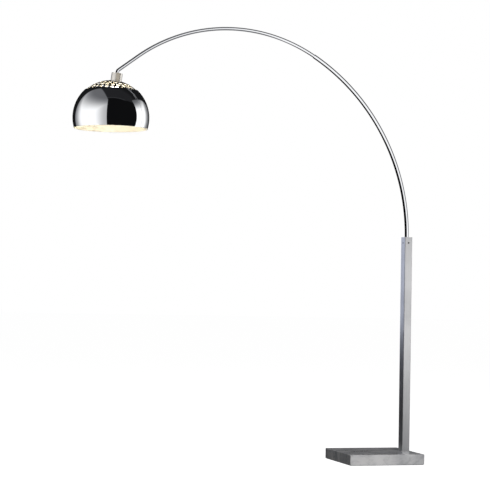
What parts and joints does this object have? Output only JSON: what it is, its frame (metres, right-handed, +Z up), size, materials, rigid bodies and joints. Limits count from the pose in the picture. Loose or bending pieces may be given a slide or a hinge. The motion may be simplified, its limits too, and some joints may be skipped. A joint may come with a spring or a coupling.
{
  "type": "arc floor lamp",
  "caption": "Arched floor lamp with a stone slab, a rectangular post, a plug-in tube arm and a chrome dome shade whose lower bowl turns and tilts on a perforated cap.",
  "frame": {"origin": "centre of the slab's underside, on the floor", "axes": "+Z up; the arm reaches from the post towards -X; the post stands near the slab's +X edge; -Y is the front"},
  "size_m": [1.7263, 0.38, 2.1126],
  "materials": {
    "marble": "polished grey-white marble with soft grey veins",
    "felt": "dark felt sheet",
    "zinc_steel": "zinc-plated steel",
    "brushed_steel": "satin steel, brushed along its length",
    "nylon": "natural nylon",
    "brass": "plain brass",
    "black_steel": "black oxide screw steel",
    "rubber": "black rubber",
    "cable_jacket": "black cable jacket",
    "arm_chrome": "chrome-plated steel tube",
    "cup_steel": "light satin nickel",
    "porcelain": "glazed porcelain",
    "bulb_metal": "plated brass screw cap",
    "bulb_glass": "opal glass, lit",
    "dome_chrome": "chrome-plated perforated sheet, white inside",
    "shade_chrome": "mirror chrome outside, warm white enamel inside"
  },
  "bodies": {
    "base": {"marble_base": "marble", "felt_pad": "felt", "clamp_plate": "zinc_steel", "clamp_bolt_front": "zinc_steel", "clamp_bolt_rear": "zinc_steel", "clamp_washer_front": "zinc_steel", "clamp_washer_rear": "zinc_steel", "post_tube": "brushed_steel", "post_foot_block": "zinc_steel", "arm_socket_block": "brushed_steel", "arm_seat_block": "zinc_steel", "arm_bush": "nylon", "thrust_washer": "brass", "set_screw_side": "black_steel", "set_screw_front": "black_steel", "cable_gland": "rubber", "post_wire": "cable_jacket"},
    "arm": {"arm_lower_section": "arm_chrome", "arm_upper_section": "arm_chrome", "arm_lock_screw": "black_steel", "arm_wire": "cable_jacket", "arm_elbow": "arm_chrome", "socket_cup": "cup_steel", "threaded_nipple": "zinc_steel", "cup_lock_washer": "zinc_steel", "cup_lock_nut": "brass", "lamp_holder": "porcelain", "holder_screw_shell": "brass", "holder_contact": "brass", "bulb_contact": "zinc_steel", "bulb_cap": "bulb_metal", "bulb_glass": "bulb_glass", "perforated_dome": "dome_chrome", "dome_clamp_ring": "nylon"},
    "glide": {"glide_ring": "nylon"},
    "bowl": {"shade_bowl": "shade_chrome"}
  },
  "joints": [
    {"name": "arm_swivel", "type": "hinge", "parent": "base", "child": "arm", "pos_m": [0.15588, 0, 1.114], "axis": [0, 0, 1], "range_deg": [-90, 90]},
    {"name": "shade_turn", "type": "hinge", "parent": "arm", "child": "glide", "pos_m": [-1.35389, 0, 1.64434], "axis": [0.1219, 0, 0.9925], "continuous": true},
    {"name": "shade_tilt", "type": "hinge", "parent": "glide", "child": "bowl", "pos_m": [-1.35389, 0, 1.64434], "axis": [0, 1, 0], "range_deg": [-13, 27]}
  ]
}
